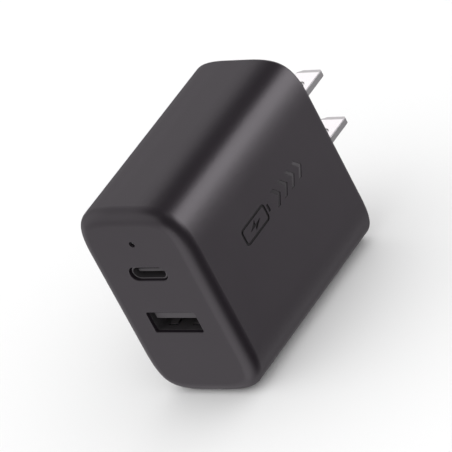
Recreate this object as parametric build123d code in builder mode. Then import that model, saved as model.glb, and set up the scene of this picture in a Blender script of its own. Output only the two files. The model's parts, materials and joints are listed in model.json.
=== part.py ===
from build123d import *

# Two-port USB wall charger with two fixed flat blades, in millimetres.
# The origin is the middle of the wall face, between the blades. +X is the width, to the right when the
# ports are faced, +Y points into the wall along the blades, and +Z is the height, towards the USB-C end.

import os
from math import cos, radians, sin, sqrt

os.makedirs("parts", exist_ok=True)

# --- driving dimensions ---------------------------------------------------------------------------
BODY_WIDTH = 28.0
BODY_DEPTH = 51.0
BODY_HEIGHT = 48.0
CORNER_REACH = 11.0  # how far each rounded long edge takes from the faces beside it
CORNER_DEPTH = 2.25  # how far its middle stands in from those faces
FRONT_EDGE_RADIUS = 3.0
REAR_EDGE_RADIUS = 1.0
WALL = 2.0
FRONT_WALL = 2.0
PORT_WALL = 0.9  # front wall left in front of the USB-A shell

USB_A_Z = -4.4
USB_C_Z = 8.5
LED_Z = 16.3
USB_A_OPENING = (12.7, 5.3)
USB_C_OPENING = (9.7, 3.5)
LED_HOLE_DIAMETER = 1.4

BLADE_WIDTH = 6.35
BLADE_THICKNESS = 1.52
BLADE_REACH = 18.0
BLADE_PITCH = 12.7
BLADE_HOLE_DIAMETER = 3.2
BLADE_HOLE_Y = 11.9

FIT = 0.05  # gap all round a part that is pressed into its slot
SEAM = 0.1  # gap all round the back cover
OVERLAP = 0.5  # how far a rib runs into its wall, or a cut runs past it

# --- places worked out from them ------------------------------------------------------------------
INNER_WIDTH = BODY_WIDTH - 2 * WALL
INNER_HEIGHT = BODY_HEIGHT - 2 * WALL
INNER_FRONT_Y = -(BODY_DEPTH - FRONT_WALL)

COVER_THICKNESS = 2.5
COVER_LEDGE = 0.4  # how far the cover's plate steps out over the wall
COVER_RIM_WALL = WALL - COVER_LEDGE
SKIRT_DEPTH = 3.0
SKIRT_WALL = 1.2
BOSS_DEPTH = 3.5
BLADE_Z = BLADE_PITCH / 2

BOARD_THICKNESS = 1.6
BOARD_BACK_X = -9.2  # solder side
BOARD_TOP_X = BOARD_BACK_X + BOARD_THICKNESS
BOARD_FRONT_Y = -48.4
BOARD_REAR_Y = -7.5
BOARD_HALF_HEIGHT = 20.8
SEAT_X = BOARD_TOP_X + 0.2  # underside of the tall components
LEAD_DIAMETER = 0.6
LEAD_END_X = BOARD_BACK_X - 1.0

PORT_BOARD_FRONT_Y = -36.2
PORT_BOARD_THICKNESS = 1.2
PORT_BOARD_REAR_Y = PORT_BOARD_FRONT_Y + PORT_BOARD_THICKNESS

USB_A_MOUTH_Y = -(BODY_DEPTH - PORT_WALL) + 0.02
USB_C_MOUTH_Y = -(BODY_DEPTH - 0.6)


def write(piece, name):
    """Labels a finished piece and writes its STEP file."""
    piece.part.label = name
    export_step(piece.part, f"parts/{name}.step")


def facing_front(y):
    """The plane at depth y that faces the ports' side: local x is +X and local y is +Z."""
    return Plane.XZ.offset(-y)


def facing_right(x):
    """The plane at x that faces +X: local x is +Y and local y is +Z."""
    return Plane.YZ.offset(x)


def body_section(inset):
    """The body's outline moved inwards by inset all round. Its corners start and end with no curvature."""
    half_width = BODY_WIDTH / 2 - inset
    half_height = BODY_HEIGHT / 2 - inset
    reach = CORNER_REACH - inset
    depth = CORNER_DEPTH - inset * (1 - 1 / sqrt(2))
    handle = reach * (4 - 8 * depth / reach) / 3
    corners = [(1, 1), (1, -1), (-1, -1), (-1, 1)]
    with BuildSketch() as section:
        with BuildLine():
            ends = []
            for side_x, side_z in corners:
                x, z = side_x * half_width, side_z * half_height
                top = (x - side_x * reach, z)
                top_pull = (x - side_x * (reach - handle), z)
                side_pull = (x, z - side_z * (reach - handle))
                side = (x, z - side_z * reach)
                turn = (top, top_pull, side_pull, side)
                ends.append(turn if side_x == side_z else turn[::-1])
            for turn, following in zip(ends, ends[1:] + ends[:1]):
                Bezier(*turn)
                Line(turn[-1], following[0])
        make_face()
    return section.sketch


# --- the body's outline at each depth into its wall -----------------------------------------------
OUTER_SECTION = body_section(0)
COVER_SEAT_SECTION = body_section(COVER_RIM_WALL)
COVER_SECTION = body_section(COVER_RIM_WALL + SEAM)
CAVITY_SECTION = body_section(WALL)
SKIRT_SECTION = body_section(WALL + SEAM)
SKIRT_HOLLOW_SECTION = body_section(WALL + SEAM + SKIRT_WALL)


# --- housing shell: a deep cup with the port openings in its closed front ---------------------------
RAIL_WIDTH = 1.2
RAIL_INNER_Z = 19.6
RAIL_GAP = 0.1
RAIL_REAR_Y = -6.0
RAIL_TOPS = (INNER_HEIGHT / 2 + 0.4, INNER_HEIGHT / 2 - 0.5)  # just inside the curving wall
USB_A_OPENING_CORNER = 0.5
USB_A_POCKET = (13.5, 6.1)
USB_A_POCKET_CORNER = 0.6
PORT_LIP_RADIUS = 0.2
LED_POCKET_DIAMETER = 2.8
LED_POCKET_DEPTH = 1.0
EMBLEM_Y = -24.2
EMBLEM_Z = 4.9
EMBLEM_HEIGHT = 4.2
EMBLEM_STROKE = 0.6
EMBLEM_RECESS = 0.15
BATTERY_Y = EMBLEM_Y - 7.2
BATTERY_LENGTH = 9.5
BATTERY_CORNER = 1.0
BATTERY_CAP = (0.7, 1.8)
BOLT = [(-2.2, -0.25), (0.35, 1.1), (0.05, 0.2), (2.2, 0.25), (-0.35, -1.1), (-0.05, -0.2)]
CHEVRON = [(-1.4, 2.1), (-0.3, 2.1), (1.3, 0), (-0.3, -2.1), (-1.4, -2.1), (0.2, 0)]
CHEVRON_COUNT = 4
CHEVRON_STEP = 3.0
FIRST_CHEVRON_Y = EMBLEM_Y + 2.2

with BuildPart() as housing_shell:
    with BuildSketch(facing_front(0)):
        add(OUTER_SECTION)
    extrude(amount=BODY_DEPTH)
    fillet(housing_shell.faces().sort_by(Axis.Y)[0].edges(), FRONT_EDGE_RADIUS)
    fillet(housing_shell.faces().sort_by(Axis.Y)[-1].edges(), REAR_EDGE_RADIUS)

    # the inside, and the step that seats the back cover
    with BuildSketch(facing_front(0)):
        add(CAVITY_SECTION)
    extrude(amount=BODY_DEPTH - FRONT_WALL, mode=Mode.SUBTRACT)
    with BuildSketch(facing_front(0)):
        add(COVER_SEAT_SECTION)
    extrude(amount=COVER_THICKNESS, mode=Mode.SUBTRACT)

    # rails that hold the edges of the main board
    rail_offsets = (
        BOARD_TOP_X + RAIL_GAP + RAIL_WIDTH / 2,
        BOARD_BACK_X - RAIL_GAP - RAIL_WIDTH / 2,
    )
    with BuildSketch(facing_front(RAIL_REAR_Y)):
        for rail_x, rail_top in zip(rail_offsets, RAIL_TOPS):
            rail_height = rail_top - RAIL_INNER_Z
            for side in (1, -1):
                with Locations((rail_x, side * (RAIL_INNER_Z + rail_height / 2))):
                    Rectangle(RAIL_WIDTH, rail_height)
    extrude(amount=RAIL_REAR_Y - INNER_FRONT_Y + OVERLAP)

    # port openings and the light pipe's hole, with softened edges
    with BuildSketch(facing_front(-BODY_DEPTH)):
        with Locations((0, USB_A_Z)):
            RectangleRounded(*USB_A_OPENING, USB_A_OPENING_CORNER)
        with Locations((0, USB_C_Z)):
            SlotOverall(*USB_C_OPENING)
        with Locations((0, LED_Z)):
            Circle(LED_HOLE_DIAMETER / 2)
    extrude(amount=-FRONT_WALL - OVERLAP, mode=Mode.SUBTRACT)
    front_face = housing_shell.faces().filter_by(Axis.Y).sort_by(Axis.Y)[0]
    opening_edges = ShapeList(e for wire in front_face.inner_wires() for e in wire.edges())
    port_edges = opening_edges.filter_by(lambda e: e.center().Z < LED_Z - LED_HOLE_DIAMETER)
    fillet(port_edges, PORT_LIP_RADIUS)

    # pockets behind the front wall for the USB-A shell and the light pipe's collar
    with BuildSketch(facing_front(INNER_FRONT_Y)):
        with Locations((0, USB_A_Z)):
            RectangleRounded(*USB_A_POCKET, USB_A_POCKET_CORNER)
    extrude(amount=FRONT_WALL - PORT_WALL, mode=Mode.SUBTRACT)
    with BuildSketch(facing_front(INNER_FRONT_Y)):
        with Locations((0, LED_Z)):
            Circle(LED_POCKET_DIAMETER / 2)
    extrude(amount=LED_POCKET_DEPTH, mode=Mode.SUBTRACT)

    # a shallow charging emblem on the right side: a battery with a bolt, and a row of chevrons
    with BuildSketch(facing_right(BODY_WIDTH / 2)):
        with Locations((BATTERY_Y, EMBLEM_Z)):
            RectangleRounded(BATTERY_LENGTH, EMBLEM_HEIGHT, BATTERY_CORNER)
            RectangleRounded(
                BATTERY_LENGTH - 2 * EMBLEM_STROKE,
                EMBLEM_HEIGHT - 2 * EMBLEM_STROKE,
                BATTERY_CORNER / 2,
                mode=Mode.SUBTRACT,
            )
            Polygon(*BOLT)
        with Locations((BATTERY_Y + BATTERY_LENGTH / 2 + 0.8, EMBLEM_Z)):
            RectangleRounded(*BATTERY_CAP, 0.3)
        for i in range(CHEVRON_COUNT):
            with Locations((FIRST_CHEVRON_Y + i * CHEVRON_STEP, EMBLEM_Z)):
                Polygon(*CHEVRON)
    extrude(amount=-EMBLEM_RECESS, mode=Mode.SUBTRACT)
write(housing_shell, "housing_shell")

# --- back cover: the wall face, with the blades' slots, bosses and heat-staked posts -----------------
STAKE_Z = 12.0
STAKE_DIAMETER = 2.0
STAKE_HEAD_DIAMETER = 3.2
STAKE_HEAD_HEIGHT = 0.6
RETAINER_THICKNESS = 1.2
COVER_EDGE_CHAMFER = 0.2
BOSS = (9.4, 4.6)
BLADE_SHOULDER_LENGTH = 1.2
BOSS_END_Y = -(COVER_THICKNESS + BOSS_DEPTH)
RETAINER_REAR_Y = BOSS_END_Y - BLADE_SHOULDER_LENGTH
RETAINER_FRONT_Y = RETAINER_REAR_Y - RETAINER_THICKNESS
BLADE_SLOT = (BLADE_WIDTH + 2 * FIT, BLADE_THICKNESS + 2 * FIT)

with BuildPart() as back_cover:
    with BuildSketch(facing_front(0)):
        add(COVER_SECTION)
    extrude(amount=COVER_THICKNESS)
    chamfer(back_cover.faces().sort_by(Axis.Y)[-1].edges(), COVER_EDGE_CHAMFER)
    with BuildSketch(facing_front(-COVER_THICKNESS)):
        add(SKIRT_SECTION)
        add(SKIRT_HOLLOW_SECTION, mode=Mode.SUBTRACT)
    extrude(amount=SKIRT_DEPTH)
    with BuildSketch(facing_front(-COVER_THICKNESS)):
        with Locations((0, BLADE_Z), (0, -BLADE_Z)):
            RectangleRounded(*BOSS, 0.8)
    extrude(amount=BOSS_DEPTH)
    with BuildSketch(facing_front(-COVER_THICKNESS)):
        with Locations((0, STAKE_Z), (0, -STAKE_Z)):
            Circle(STAKE_DIAMETER / 2)
    extrude(amount=-RETAINER_FRONT_Y - COVER_THICKNESS)
    with BuildSketch(facing_front(RETAINER_FRONT_Y)):
        with Locations((0, STAKE_Z), (0, -STAKE_Z)):
            Circle(STAKE_HEAD_DIAMETER / 2)
    extrude(amount=STAKE_HEAD_HEIGHT)
    with BuildSketch(facing_front(0)):
        with Locations((0, BLADE_Z), (0, -BLADE_Z)):
            Rectangle(*BLADE_SLOT)
    extrude(amount=-BOSS_END_Y, mode=Mode.SUBTRACT)
write(back_cover, "back_cover")

# --- the two flat blades, each a stamped strip with a shoulder and a narrow tail ----------------------
BLADE_TAIL_WIDTH = 3.2
BLADE_TAIL_END_Y = -11.0
BLADE_SHOULDER_WIDTH = 8.0
BLADE_TIP_CORNER = 0.9
BLADE_TIP_BEVEL = 0.45
BLADE_TIP_BEVEL_LENGTH = 1.5
BLADE_EDGE_RADIUS = 0.15

for name, side in (("blade_upper", 1), ("blade_lower", -1)):
    with BuildPart() as blade:
        with BuildSketch(Plane.XY.offset(side * BLADE_Z - BLADE_THICKNESS / 2)):
            with Locations((0, (BLADE_REACH + BOSS_END_Y) / 2)):
                Rectangle(BLADE_WIDTH, BLADE_REACH - BOSS_END_Y)
            with Locations((0, BOSS_END_Y - BLADE_SHOULDER_LENGTH / 2)):
                Rectangle(BLADE_SHOULDER_WIDTH, BLADE_SHOULDER_LENGTH)
            with Locations((0, (RETAINER_REAR_Y + BLADE_TAIL_END_Y) / 2)):
                Rectangle(BLADE_TAIL_WIDTH, RETAINER_REAR_Y - BLADE_TAIL_END_Y)
            with Locations((0, BLADE_HOLE_Y)):
                Circle(BLADE_HOLE_DIAMETER / 2, mode=Mode.SUBTRACT)
        extrude(amount=BLADE_THICKNESS)
        tip = blade.faces().sort_by(Axis.Y)[-1]
        chamfer(tip.edges().filter_by(Axis.Z), BLADE_TIP_CORNER)
        tip = blade.faces().sort_by(Axis.Y)[-1]
        chamfer(
            tip.edges().filter_by(Axis.X),
            length=BLADE_TIP_BEVEL,
            length2=BLADE_TIP_BEVEL_LENGTH,
            reference=tip,
        )
        long_edges = blade.edges().filter_by(Axis.Y).filter_by(lambda e: e.length > BLADE_REACH / 2)
        fillet(long_edges, BLADE_EDGE_RADIUS)
    write(blade, name)

# --- retainer plate that locks the blades' shoulders against the cover's bosses -----------------------
with BuildPart() as blade_retainer:
    with BuildSketch(facing_front(RETAINER_REAR_Y)):
        RectangleRounded(BOSS[0], 2 * STAKE_Z + 5.0, 1.5)
        with Locations((0, BLADE_Z), (0, -BLADE_Z)):
            Rectangle(BLADE_TAIL_WIDTH + 2 * FIT, BLADE_SLOT[1], mode=Mode.SUBTRACT)
        with Locations((0, STAKE_Z), (0, -STAKE_Z)):
            Circle(STAKE_DIAMETER / 2 + FIT, mode=Mode.SUBTRACT)
    extrude(amount=RETAINER_THICKNESS)
write(blade_retainer, "blade_retainer")

# --- spring clips that carry the mains from the blades' tails to the main board -----------------------
CLIP_THICKNESS = 0.4
CLIP_Y = -10.0
CLIP_LENGTH = 2.8
CLIP_TAB = 1.4
CLIP_FOOT_WIDTH = 2.0
CLIP_TOP_X = 1.6
CLIP_Z = BLADE_Z + BLADE_THICKNESS / 2 + CLIP_THICKNESS / 2

for name, side in (("blade_clip_upper", 1), ("blade_clip_lower", -1)):
    with BuildPart() as blade_clip:
        with BuildSketch(Plane.XY.offset(side * CLIP_Z - CLIP_THICKNESS / 2)):
            with Locations(((CLIP_TOP_X + BOARD_TOP_X) / 2, CLIP_Y)):
                Rectangle(CLIP_TOP_X - BOARD_TOP_X, CLIP_LENGTH)
            with Locations(((LEAD_END_X + BOARD_TOP_X) / 2, CLIP_Y)):
                Rectangle(BOARD_TOP_X - LEAD_END_X, CLIP_TAB)
        extrude(amount=CLIP_THICKNESS)
        with BuildSketch(facing_right(BOARD_TOP_X)):
            with Locations((CLIP_Y, side * (CLIP_Z + CLIP_FOOT_WIDTH / 2))):
                Rectangle(CLIP_LENGTH, CLIP_FOOT_WIDTH)
        extrude(amount=CLIP_THICKNESS)
    write(blade_clip, name)

# --- where the components stand on the main board: (y, z) ---------------------------------------------
CAPACITOR_PLACES = {
    # name: (y, z, diameter, height, lead spacing)
    "input_capacitor_1": (-15.7, -14.0, 10.0, 16.0, 5.0),
    "input_capacitor_2": (-26.5, -14.0, 10.0, 16.0, 5.0),
    "output_capacitor_1": (-42.0, -14.2, 8.0, 12.0, 3.5),
    "output_capacitor_2": (-43.0, 2.7, 6.3, 9.0, 2.5),
}
FUSE_PLACE = (-11.5, 15.5)
FUSE_LEAD_SPACING = 5.0
CHOKE_PLACE = (-12.5, 0.0)
CHOKE_LEADS = (6.4, 5.0)
THERMISTOR_PLACE = (-17.3, 16.4)
THERMISTOR_LEAD_SPACING = 3.6
Y_CAPACITOR_PLACE = (-28.5, 17.7)
Y_CAPACITOR_LEAD_SPACING = 5.0
TRANSFORMER_PLACE = (-25.6, 5.5)
TRANSFORMER_PIN_ROW = 14.6
TRANSFORMER_PIN_STEP = 2.5
TRANSFORMER_PINS_PER_ROW = 5
OPTOCOUPLER_PLACE = (-33.9, -5.0)
BARRIER_SLOT = (6.0, 1.0)
PORT_BOARD_TAB_ZS = (-10.5, 13.5)
PORT_BOARD_TAB_LENGTH = 4.0
HOLE_CLEARANCE = 0.15  # all round a lead in its hole
SLOT_CLEARANCE = 0.1  # all round a tab in its slot


def lead_places():
    """Centres (y, z) of every round lead that goes through the main board, transformer pins apart."""
    places = []
    for y, z, _, _, spacing in CAPACITOR_PLACES.values():
        places += [(y, z - spacing / 2), (y, z + spacing / 2)]
    for (y, z), spacing in (
        (FUSE_PLACE, FUSE_LEAD_SPACING),
        (THERMISTOR_PLACE, THERMISTOR_LEAD_SPACING),
    ):
        places += [(y, z - spacing / 2), (y, z + spacing / 2)]
    y, z = Y_CAPACITOR_PLACE
    places += [(y - Y_CAPACITOR_LEAD_SPACING / 2, z), (y + Y_CAPACITOR_LEAD_SPACING / 2, z)]
    y, z = CHOKE_PLACE
    dy, dz = CHOKE_LEADS
    places += [(y + sy * dy / 2, z + sz * dz / 2) for sy in (-1, 1) for sz in (-1, 1)]
    return places


def transformer_pin_places():
    """Centres (y, z) of the transformer's two rows of pins."""
    y, z = TRANSFORMER_PLACE
    middle = (TRANSFORMER_PINS_PER_ROW - 1) / 2
    return [
        (y + side * TRANSFORMER_PIN_ROW / 2, z + (i - middle) * TRANSFORMER_PIN_STEP)
        for side in (-1, 1)
        for i in range(TRANSFORMER_PINS_PER_ROW)
    ]


# --- main board, on the left of the case, with its holes and slots -------------------------------------
with BuildPart() as main_board:
    with BuildSketch(facing_right(BOARD_BACK_X)):
        with Locations(((BOARD_FRONT_Y + BOARD_REAR_Y) / 2, 0)):
            RectangleRounded(BOARD_REAR_Y - BOARD_FRONT_Y, 2 * BOARD_HALF_HEIGHT, 1.0)
        with Locations(*(lead_places() + transformer_pin_places())):
            Circle(LEAD_DIAMETER / 2 + HOLE_CLEARANCE, mode=Mode.SUBTRACT)
        with Locations((CLIP_Y, CLIP_Z), (CLIP_Y, -CLIP_Z)):
            Rectangle(
                CLIP_TAB + 2 * SLOT_CLEARANCE, CLIP_THICKNESS + 2 * SLOT_CLEARANCE, mode=Mode.SUBTRACT
            )
        with Locations(*[(PORT_BOARD_FRONT_Y + PORT_BOARD_THICKNESS / 2, z) for z in PORT_BOARD_TAB_ZS]):
            Rectangle(
                PORT_BOARD_THICKNESS + 2 * SLOT_CLEARANCE,
                PORT_BOARD_TAB_LENGTH + 2 * SLOT_CLEARANCE,
                mode=Mode.SUBTRACT,
            )
        # the slot that keeps mains and output apart, under the optocoupler
        with Locations(OPTOCOUPLER_PLACE):
            SlotOverall(*BARRIER_SLOT, rotation=90, mode=Mode.SUBTRACT)
    extrude(amount=BOARD_THICKNESS)
write(main_board, "main_board")

with BuildPart() as component_leads:
    with BuildSketch(facing_right(LEAD_END_X)):
        with Locations(*lead_places()):
            Circle(LEAD_DIAMETER / 2)
    extrude(amount=SEAT_X - LEAD_END_X)
write(component_leads, "component_leads")

# --- port board, upright behind the sockets -------------------------------------------------------------
PORT_BOARD_TOP_X = 9.0
PORT_BOARD_LOW_Z = -13.0
PORT_BOARD_HIGH_Z = 19.0
USB_A_PIN_XS = (-3.5, -1.0, 1.0, 3.5)
USB_A_PIN_WIDTH = 1.0
USB_A_PIN_HOLE_DIAMETER = 1.5

with BuildPart() as port_board:
    with BuildSketch(facing_front(PORT_BOARD_REAR_Y)):
        with Locations(
            (
                (PORT_BOARD_TOP_X + BOARD_TOP_X) / 2,
                (PORT_BOARD_LOW_Z + PORT_BOARD_HIGH_Z) / 2,
            )
        ):
            Rectangle(PORT_BOARD_TOP_X - BOARD_TOP_X, PORT_BOARD_HIGH_Z - PORT_BOARD_LOW_Z)
        for tab_z in PORT_BOARD_TAB_ZS:
            with Locations(((BOARD_TOP_X + LEAD_END_X) / 2, tab_z)):
                Rectangle(BOARD_TOP_X - LEAD_END_X, PORT_BOARD_TAB_LENGTH)
    extrude(amount=PORT_BOARD_THICKNESS)
    with BuildSketch(facing_front(PORT_BOARD_REAR_Y)):
        with Locations(*[(x, USB_A_Z) for x in USB_A_PIN_XS]):
            Circle(USB_A_PIN_HOLE_DIAMETER / 2)
    extrude(amount=PORT_BOARD_THICKNESS, mode=Mode.SUBTRACT)
write(port_board, "port_board")

# --- USB-A socket -------------------------------------------------------------------------------------
USB_A_SHELL = (13.1, 5.7)
USB_A_STEEL = 0.3
USB_A_INSIDE_HEIGHT = USB_A_SHELL[1] - 2 * USB_A_STEEL
USB_A_TONGUE = (11.1, 1.84)
USB_A_TONGUE_TOP_GAP = 0.72
USB_A_TONGUE_FRONT_Y = -49.7
USB_A_BASE_FRONT_Y = -39.6
USB_A_CONTACT_THICKNESS = 0.3
USB_A_CONTACT_PROUD = 0.12  # how far the contacts stand out of the tongue's lower side
PIN_REACH = 0.3  # how far the pins pass the port board
USB_A_TONGUE_TOP_Z = USB_A_Z + USB_A_INSIDE_HEIGHT / 2 - USB_A_TONGUE_TOP_GAP
USB_A_TONGUE_LOW_Z = USB_A_TONGUE_TOP_Z - USB_A_TONGUE[1]
SPRING_WIDTH = 2.0
SPRING_FRONT_Y = -48.3
SPRING_REAR_Y = -42.8
SPRING_DIP = 0.38
SPRING_XS = (-3.2, 3.2)

with BuildPart() as usb_a_shell:
    with BuildSketch(facing_front(PORT_BOARD_FRONT_Y)):
        with Locations((0, USB_A_Z)):
            RectangleRounded(*USB_A_SHELL, 0.6)
            RectangleRounded(
                USB_A_SHELL[0] - 2 * USB_A_STEEL, USB_A_INSIDE_HEIGHT, 0.3, mode=Mode.SUBTRACT
            )
    extrude(amount=PORT_BOARD_FRONT_Y - USB_A_MOUTH_Y)
    # windows around the four spring fingers, in the broad walls
    window_length = SPRING_REAR_Y - SPRING_FRONT_Y + 0.4
    for x in SPRING_XS:
        with BuildSketch(Plane.XY.offset(USB_A_Z - USB_A_SHELL[1])):
            with Locations((x, (SPRING_FRONT_Y + SPRING_REAR_Y) / 2 - 0.2)):
                Rectangle(SPRING_WIDTH + 0.6, window_length)
        extrude(amount=2 * USB_A_SHELL[1], mode=Mode.SUBTRACT)
    # the fingers, hinged at the rear and dipping inwards at the front
    for wall in (1, -1):
        outer_z = USB_A_Z + wall * USB_A_SHELL[1] / 2
        for x in SPRING_XS:
            with BuildSketch(facing_right(x - SPRING_WIDTH / 2)):
                with BuildLine():
                    Polyline(
                        (SPRING_REAR_Y + 0.3, outer_z),
                        (SPRING_FRONT_Y + 1.2, outer_z - wall * SPRING_DIP),
                        (SPRING_FRONT_Y, outer_z - wall * 0.1),
                        (SPRING_FRONT_Y, outer_z - wall * (0.1 + USB_A_STEEL)),
                        (SPRING_FRONT_Y + 1.2, outer_z - wall * (SPRING_DIP + USB_A_STEEL)),
                        (SPRING_REAR_Y + 0.3, outer_z - wall * USB_A_STEEL),
                        close=True,
                    )
                make_face()
            extrude(amount=SPRING_WIDTH)
write(usb_a_shell, "usb_a_shell")

with BuildPart() as usb_a_contacts:
    contact_z = USB_A_TONGUE_LOW_Z - USB_A_CONTACT_PROUD + USB_A_CONTACT_THICKNESS / 2
    with BuildSketch(facing_front(PORT_BOARD_REAR_Y + PIN_REACH)):
        with Locations(*[(x, contact_z) for x in USB_A_PIN_XS]):
            Rectangle(USB_A_PIN_WIDTH, USB_A_CONTACT_THICKNESS)
    extrude(amount=PORT_BOARD_REAR_Y + PIN_REACH - USB_A_TONGUE_FRONT_Y - 0.8)
write(usb_a_contacts, "usb_a_contacts")

with BuildPart() as usb_a_insulator:
    with BuildSketch(facing_front(PORT_BOARD_FRONT_Y)):
        with Locations((0, USB_A_Z)):
            RectangleRounded(
                USB_A_SHELL[0] - 2 * USB_A_STEEL - 2 * FIT, USB_A_INSIDE_HEIGHT - 2 * FIT, 0.3
            )
    extrude(amount=PORT_BOARD_FRONT_Y - USB_A_BASE_FRONT_Y)
    with BuildSketch(facing_front(PORT_BOARD_FRONT_Y)):
        with Locations((0, (USB_A_TONGUE_TOP_Z + USB_A_TONGUE_LOW_Z) / 2)):
            RectangleRounded(*USB_A_TONGUE, 0.3)
    extrude(amount=PORT_BOARD_FRONT_Y - USB_A_TONGUE_FRONT_Y)
    chamfer(usb_a_insulator.faces().sort_by(Axis.Y)[0].edges(), 0.25)
    add(usb_a_contacts.part, mode=Mode.SUBTRACT)
write(usb_a_insulator, "usb_a_insulator")

# --- USB-C socket -------------------------------------------------------------------------------------
USB_C_SHELL = (8.94, 3.2)
USB_C_STEEL = 0.3
USB_C_TONGUE = (6.7, 0.7)
USB_C_TONGUE_FRONT_Y = USB_C_MOUTH_Y + 0.9
USB_C_STEP_Y = -45.6
USB_C_BASE_FRONT_Y = -44.0
USB_C_CONTACT_STEP = 0.5
USB_C_CONTACTS_PER_ROW = 12
USB_C_CONTACT = (0.26, 0.12)
USB_C_CONTACT_PROUD = 0.04
USB_C_MIDPLATE = (6.9, 0.15)
USB_C_STEP = (7.2, 1.4)

with BuildPart() as usb_c_shell:
    with BuildSketch(facing_front(PORT_BOARD_FRONT_Y)):
        with Locations((0, USB_C_Z)):
            SlotOverall(*USB_C_SHELL)
            SlotOverall(
                USB_C_SHELL[0] - 2 * USB_C_STEEL,
                USB_C_SHELL[1] - 2 * USB_C_STEEL,
                mode=Mode.SUBTRACT,
            )
    extrude(amount=PORT_BOARD_FRONT_Y - USB_C_MOUTH_Y)
write(usb_c_shell, "usb_c_shell")

with BuildPart() as usb_c_contacts:
    with BuildSketch(facing_front(USB_C_BASE_FRONT_Y)):
        for row in (1, -1):
            contact_offset = (USB_C_TONGUE[1] - USB_C_CONTACT_PROUD) / 2
            with Locations((0, USB_C_Z + row * contact_offset)):
                with GridLocations(USB_C_CONTACT_STEP, 1, USB_C_CONTACTS_PER_ROW, 1):
                    Rectangle(*USB_C_CONTACT)
    extrude(amount=USB_C_BASE_FRONT_Y - USB_C_TONGUE_FRONT_Y - 0.5)
write(usb_c_contacts, "usb_c_contacts")

with BuildPart() as usb_c_midplate:
    with BuildSketch(facing_front(USB_C_BASE_FRONT_Y)):
        with Locations((0, USB_C_Z)):
            Rectangle(*USB_C_MIDPLATE)
    extrude(amount=USB_C_BASE_FRONT_Y - USB_C_TONGUE_FRONT_Y - 0.3)
write(usb_c_midplate, "usb_c_midplate")

with BuildPart() as usb_c_insulator:
    with BuildSketch(facing_front(PORT_BOARD_FRONT_Y)):
        with Locations((0, USB_C_Z)):
            SlotOverall(
                USB_C_SHELL[0] - 2 * (USB_C_STEEL + FIT), USB_C_SHELL[1] - 2 * (USB_C_STEEL + FIT)
            )
    extrude(amount=PORT_BOARD_FRONT_Y - USB_C_BASE_FRONT_Y)
    with BuildSketch(facing_front(PORT_BOARD_FRONT_Y)):
        with Locations((0, USB_C_Z)):
            RectangleRounded(*USB_C_TONGUE, 0.2)
    extrude(amount=PORT_BOARD_FRONT_Y - USB_C_TONGUE_FRONT_Y)
    with BuildSketch(facing_front(PORT_BOARD_FRONT_Y)):
        with Locations((0, USB_C_Z)):
            RectangleRounded(*USB_C_STEP, 0.3)
    extrude(amount=PORT_BOARD_FRONT_Y - USB_C_STEP_Y)
    add(usb_c_contacts.part, mode=Mode.SUBTRACT)
    add(usb_c_midplate.part, mode=Mode.SUBTRACT)
write(usb_c_insulator, "usb_c_insulator")

# --- status light: a chip on the port board and a clear pipe to the front ------------------------------
LED_CHIP = (1.6, 0.8, 0.6)
PIPE_DIAMETER = 2.0
PIPE_REAR_Y = PORT_BOARD_FRONT_Y - LED_CHIP[2] - 0.3
COLLAR_BEHIND = 0.6  # how far the pipe's collar stands behind the front wall
PIPE_TIP_RECESS = 0.8

with BuildPart() as status_led:
    with BuildSketch(facing_front(PORT_BOARD_FRONT_Y)):
        with Locations((0, LED_Z)):
            Rectangle(*LED_CHIP[:2])
    extrude(amount=LED_CHIP[2])
write(status_led, "status_led")

with BuildPart() as light_pipe:
    with BuildSketch(facing_front(PIPE_REAR_Y)):
        with Locations((0, LED_Z)):
            Circle(PIPE_DIAMETER / 2)
    extrude(amount=PIPE_REAR_Y - INNER_FRONT_Y)
    with BuildSketch(facing_front(INNER_FRONT_Y + COLLAR_BEHIND)):
        with Locations((0, LED_Z)):
            Circle(LED_POCKET_DIAMETER / 2 - FIT)
    extrude(amount=COLLAR_BEHIND + LED_POCKET_DEPTH - FIT)
    with BuildSketch(facing_front(INNER_FRONT_Y)):
        with Locations((0, LED_Z)):
            Circle(LED_HOLE_DIAMETER / 2 - FIT)
    extrude(amount=FRONT_WALL - PIPE_TIP_RECESS)
write(light_pipe, "light_pipe")

# --- transformer: two E-shaped ferrite halves, a bobbin, its winding and its pins ------------------------
CORE_WIDTH = 20.0
CORE_DEPTH = 10.0
CORE_HALF_HEIGHT = 8.0
CORE_WEB = 3.0
CORE_OUTER_LEG = 3.0
CORE_MIDDLE_LEG = 6.0
CORE_BASE_X = SEAT_X + 1.0
CORE_SPLIT_X = CORE_BASE_X + CORE_HALF_HEIGHT
BOBBIN_LOW_X = CORE_BASE_X + CORE_WEB + 0.2
BOBBIN_HIGH_X = CORE_BASE_X + 2 * CORE_HALF_HEIGHT - CORE_WEB - 0.2
BOBBIN_FLANGE = 0.8
BOBBIN_WALL = 0.8
BOBBIN_DEPTH = 17.4
BOBBIN_WIDTH = 13.4
transformer_y, transformer_z = TRANSFORMER_PLACE

for name, base_x, web_x in (
    ("transformer_core_lower", CORE_BASE_X, CORE_BASE_X),
    ("transformer_core_upper", CORE_SPLIT_X, CORE_SPLIT_X + CORE_HALF_HEIGHT - CORE_WEB),
):
    with BuildPart() as core_half:
        with BuildSketch(facing_right(web_x)):
            with Locations((transformer_y, transformer_z)):
                Rectangle(CORE_DEPTH, CORE_WIDTH)
        extrude(amount=CORE_WEB)
        with BuildSketch(facing_right(base_x)):
            leg_offset = (CORE_WIDTH - CORE_OUTER_LEG) / 2
            with Locations(
                (transformer_y, transformer_z + leg_offset), (transformer_y, transformer_z - leg_offset)
            ):
                Rectangle(CORE_DEPTH, CORE_OUTER_LEG)
            with Locations((transformer_y, transformer_z)):
                RectangleRounded(CORE_DEPTH, CORE_MIDDLE_LEG, 1.0)
        extrude(amount=CORE_HALF_HEIGHT)
    write(core_half, name)

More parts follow.
